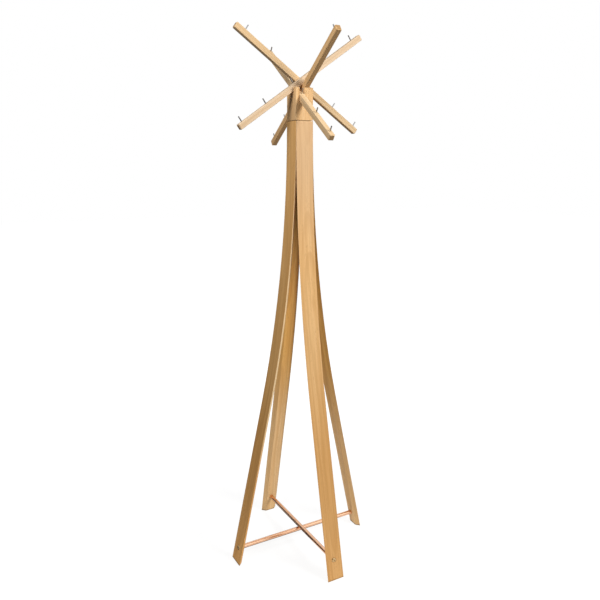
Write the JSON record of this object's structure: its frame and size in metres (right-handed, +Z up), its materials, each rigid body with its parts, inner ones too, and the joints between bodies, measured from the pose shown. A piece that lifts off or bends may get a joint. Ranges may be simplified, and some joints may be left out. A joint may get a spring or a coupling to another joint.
{
  "type": "standing coat rack",
  "caption": "Free-standing wooden coat rack: bent legs close into a square column under a turning head with crossed, pegged arms; copper stretchers near the floor.",
  "frame": {"origin": "on the floor under the column's centre line", "axes": "+Z up, -Y out through the front leg, -X out through the left leg"},
  "size_m": [0.5048, 0.5048, 1.7606],
  "materials": {
    "oak": "satin oil",
    "inner_wood": "bare",
    "copper": "polished copper",
    "peg_steel": "polished",
    "steel": "plain",
    "brass": "satin",
    "bronze": "plain",
    "nylon": "matte"
  },
  "bodies": {
    "stand": {"leg_front": "oak", "leg_left": "oak", "leg_back": "oak", "leg_right": "oak", "column_core": "inner_wood", "leg_dowels": "inner_wood", "upper_bush": "bronze", "lower_bush": "bronze", "thrust_washer": "nylon", "stretcher_front_back": "copper", "stretcher_left_right": "copper", "stretcher_plugs": "steel", "stretcher_screws": "brass"},
    "head": {"head_block": "oak", "pivot_pin": "steel", "keeper_washer": "steel", "keeper_screw": "steel", "arm_left": "oak", "arm_right": "oak", "arm_front": "oak", "arm_back": "oak", "arm_left_pegs": "peg_steel", "arm_right_pegs": "peg_steel", "arm_front_pegs": "peg_steel", "arm_back_pegs": "peg_steel", "upper_pair_dowel": "inner_wood", "lower_pair_dowel": "inner_wood", "seat_dowels": "inner_wood"}
  },
  "joints": [
    {"name": "head_turn", "type": "hinge", "parent": "stand", "child": "head", "pos_m": [0, 0, 1.4865], "axis": [0, 0, 1], "continuous": true}
  ]
}
